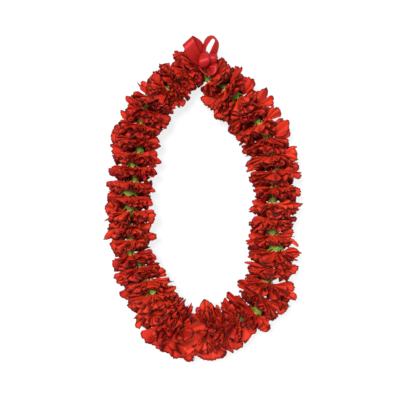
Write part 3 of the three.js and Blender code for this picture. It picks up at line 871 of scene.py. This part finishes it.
def petal_material():
    """Red that varies, with veins, painted shade in the pleats, a dark edge partly painted shade, a pale
    claw.
    """
    n = Nodes("petal_red")
    grain, _, along = n.layer("grain")
    _, own, pleat_shade = n.layer("tint_and_shade")
    mottle = n.noise(n.place(), scale=90, detail=4)
    veins = n.noise(n.scaled(grain, 34, 2.2), scale=1, detail=2)
    # own is each petal's tone; for the first left flower and the petals under the knot it also carries
    # painted shade.
    red = n.mix(n.weighted(own, 0.6, mottle, 0.5), linear(210, 60, 33), linear(177, 27, 14))
    red = n.over(red, n.range(veins, 0.45, 0.75), 0.46, linear(112, 4, 4))
    # Painted shade in the pleats: the deeper a point lies in them, the darker it is painted.
    red = n.over(red, n.range(pleat_shade, 0.36, 0.84), 0.88, linear(54, 0, 1))
    # A dark edge: partly the petal's own darker margin, partly painted shade along the edge.
    red = n.over(red, n.range(along, 0.905, 0.995), 0.78, linear(60, 1, 4))
    claw = n.range(n.math("ADD", along, n.weighted(own, 0.3, veins, 0.1)), 0.3, 0.18)
    red = n.mix(claw, red, linear(222, 164, 108))
    return n.finish(
        Base_Color=red,
        Roughness=0.6,
        Specular_IOR_Level=0.1,
        Normal=n.bump(n.weighted(veins, 0.8, mottle, 0.5), strength=0.5, distance=0.0008),
    )


def calyx_material():
    """Striped green, with paler tips to the teeth."""
    n = Nodes("calyx_green")
    grain, _, along = n.layer("grain")
    _, own, _ = n.layer("tint_and_shade")
    mottle = n.noise(n.place(), scale=160, detail=4)
    stripes = n.noise(n.scaled(grain, 90, 3), scale=1, detail=2)
    green = n.mix(n.weighted(own, 0.8, mottle, 0.4), linear(128, 158, 48), linear(92, 96, 34))
    green = n.over(green, stripes, 0.6, linear(62, 84, 22))
    green = n.over(green, n.range(along, 0.88, 1.0), 0.7, linear(176, 158, 84))
    return n.finish(
        Base_Color=green,
        Roughness=0.5,
        Specular_IOR_Level=0.2,
        Normal=n.bump(stripes, strength=0.3, distance=0.0005),
    )


def thread_material():
    n = Nodes("cotton")
    _, around, along = n.layer("grain")
    twist = n.math("SINE", n.math("MULTIPLY", n.math("ADD", along, around), 2 * math.pi))
    colour = n.mix(n.range(twist, -1, 1), linear(196, 186, 168), linear(236, 230, 216))
    return n.finish(Base_Color=colour, Roughness=0.9, Normal=n.bump(twist, strength=0.6, distance=0.0004))


def ribbon_material():
    """Satin with fine threads along it and a darker edge."""
    n = Nodes("satin")
    grain, across, _ = n.layer("grain")
    threads = n.noise(n.scaled(grain, 4, 160), scale=1, detail=2)
    edge = n.range(n.math("ABSOLUTE", n.math("SUBTRACT", across, 0.5)), 0.465, 0.485)
    red = n.mix(threads, linear(152, 22, 14), linear(120, 10, 8))
    red = n.over(red, edge, 0.7, linear(64, 4, 6))
    return n.finish(
        Base_Color=red,
        Roughness=0.4,
        Specular_IOR_Level=0.7,
        Specular_Tint=linear(255, 108, 122),
        Normal=n.bump(threads, strength=0.15, distance=0.0003),
    )


def floor_material():
    n = Nodes("paper")
    white = n.mix(n.noise(n.place(), scale=40, detail=3), linear(112, 112, 112), linear(109, 109, 109))
    return n.finish(
        Base_Color=white,
        Roughness=0.9,
        Specular_IOR_Level=0.1,
        Emission_Color=(1, 1, 1, 1),
        Emission_Strength=PAPER_GLOW,
    )


def camera():
    data = bpy.data.cameras.new("camera")
    data.lens = LENS
    data.sensor_width = SENSOR
    made = bpy.data.objects.new("camera", data)
    bpy.context.scene.collection.objects.link(made)
    made.location = (*VIEW_CENTRE, VIEW_HEIGHT + VIEW_WIDTH * LENS / SENSOR)
    bpy.context.scene.camera = made


def lights():
    world = bpy.data.worlds.new("studio")
    bpy.context.scene.world = world
    world.use_nodes = True
    background = world.node_tree.nodes["Background"]
    background.inputs["Color"].default_value = (1, 1, 1, 1)
    background.inputs["Strength"].default_value = WORLD_STRENGTH
    data = bpy.data.lights.new("key", "SUN")
    data.energy = KEY_STRENGTH
    data.angle = math.radians(KEY_ANGLE)
    made = bpy.data.objects.new("key", data)
    bpy.context.scene.collection.objects.link(made)
    made.rotation_euler = (0, math.radians(KEY_FROM_ABOVE), math.radians(KEY_TURN))


def floor(material):
    mesh = bpy.data.meshes.new("floor")
    corners = [(x * FLOOR_HALF, y * FLOOR_HALF, 0) for x, y in ((-1, -1), (1, -1), (1, 1), (-1, 1))]
    mesh.from_pydata(corners, [], [(0, 1, 2, 3)])
    mesh.materials.append(material)
    made = bpy.data.objects.new("floor", mesh)
    bpy.context.scene.collection.objects.link(made)


def thread(material):
    """One closed loop through every flower and the bow, down the right strand and back up the left."""
    phi = np.linspace(0, 2 * math.pi, THREAD_SIDES, endpoint=False)
    rings = []
    for strand in STRANDS:
        steps = int(strand_length[strand] / THREAD_STEP)
        for distance in np.linspace(0, strand_length[strand], steps, endpoint=False)[::strand]:
            at = distance if strand == RIGHT else distance + strand_length[strand] / steps
            across = THREAD_RADIUS * np.cos(phi) * strand + sway(strand, at)
            rings.append(beside(strand, at, across, THREAD_RADIUS * np.sin(phi)))
    along = np.arange(len(rings))[:, None] * np.ones((1, THREAD_SIDES))
    around = np.arange(THREAD_SIDES)[None, :] / THREAD_SIDES * np.ones((len(rings), 1))
    build = Build()
    faces = tube_faces(len(rings), THREAD_SIDES)
    build.add(np.stack(rings), faces, np.stack([around, along], -1), (0, 0))
    return build.make("string", material, "thread")


def smooth_line(stations, steps):
    """Points on a smooth line through stations, evenly many between each two."""
    stations = np.array(stations, float)
    before = 2 * stations[:1] - stations[1:2]
    after = 2 * stations[-1:] - stations[-2:-1]
    padded = np.concatenate([before, stations, after])
    share = np.linspace(0, len(stations) - 1, (len(stations) - 1) * steps + 1)
    piece = np.minimum(share.astype(int), len(stations) - 2)
    w = (share - piece)[:, None]
    a, b, c, d = (padded[piece + k] for k in range(4))
    return b + 0.5 * w * (c - a + w * (2 * a - 5 * b + 4 * c - d + w * (3 * (b - c) + d - a)))


def unit(vectors):
    return vectors / np.linalg.norm(vectors, axis=-1, keepdims=True)


def ribbon_strip(build, stations, across=None, doubled=False):
    """One loop of ribbon. Gives back the length of its middle line, along which a doubled one is folded."""
    line = smooth_line(stations, STEPS_PER_STATION)
    centre, shown = line[:, :3], np.clip(line[:, 3], LEAST_SHOWN, RIBBON_WIDTH)
    ahead = unit(np.gradient(centre, axis=0))
    if across is None:
        left = unit(np.stack([-ahead[:, 1], ahead[:, 0], np.zeros(len(ahead))], -1))
        flare = np.radians(line[:, 4:])
        side = left * np.sin(flare) + np.array([0, 0, 1]) * np.cos(flare)
    else:
        side = np.broadcast_to(unit(np.array(across, float)), ahead.shape)
    thin = unit(np.cross(ahead, side))
    x = np.linspace(-0.5, 0.5, RIBBON_COLUMNS)[None, :]
    if doubled:
        spot = 0.5 - np.abs(2 * x)
        height = FOLD_GAP * smooth_step(FOLD_TURN * x + 0.5) * np.ones_like(shown)[:, None]
    else:
        spot = x
        height = -TUCK * (RIBBON_WIDTH - shown)[:, None] * np.abs(2 * x) ** TUCK_POWER
    grid = (
        centre[:, None, :]
        + side[:, None, :] * (spot * shown[:, None])[..., None]
        + thin[:, None, :] * height[..., None]
    )
    half = normals_of(grid) * RIBBON_THICK / 2
    length = np.concatenate([[0], np.cumsum(np.linalg.norm(np.diff(centre, axis=0), axis=1))])
    uv = np.stack(np.broadcast_arrays(x + 0.5, length[:, None] / RIBBON_WIDTH), -1)
    build.add(np.stack([grid + half, grid - half]), blade_faces(*grid.shape[:2]), np.stack([uv, uv]), (0, 0))
    return length[-1]


def ribbon_bow(material):
    """The whole bow as one sheet of ribbon."""
    build = Build()
    length = sum(ribbon_strip(build, **loop) for loop in BOW_LOOPS)
    made = build.make("satin_bow", material, "ribbon_bow")
    return made


bpy.context.scene.view_settings.view_transform = "Standard"
camera()
lights()
floor(floor_material())
petal_red = petal_material()
calyx_green = calyx_material()
for strand in STRANDS:
    for index in range(FLOWERS[strand]):
        bloom(strand, index, petal_red)
    for first in range(0, FLOWERS[strand], CALYXES_PER_RUN):
        calyx_run(strand, first, calyx_green)
thread(thread_material())
ribbon_bow(ribbon_material())
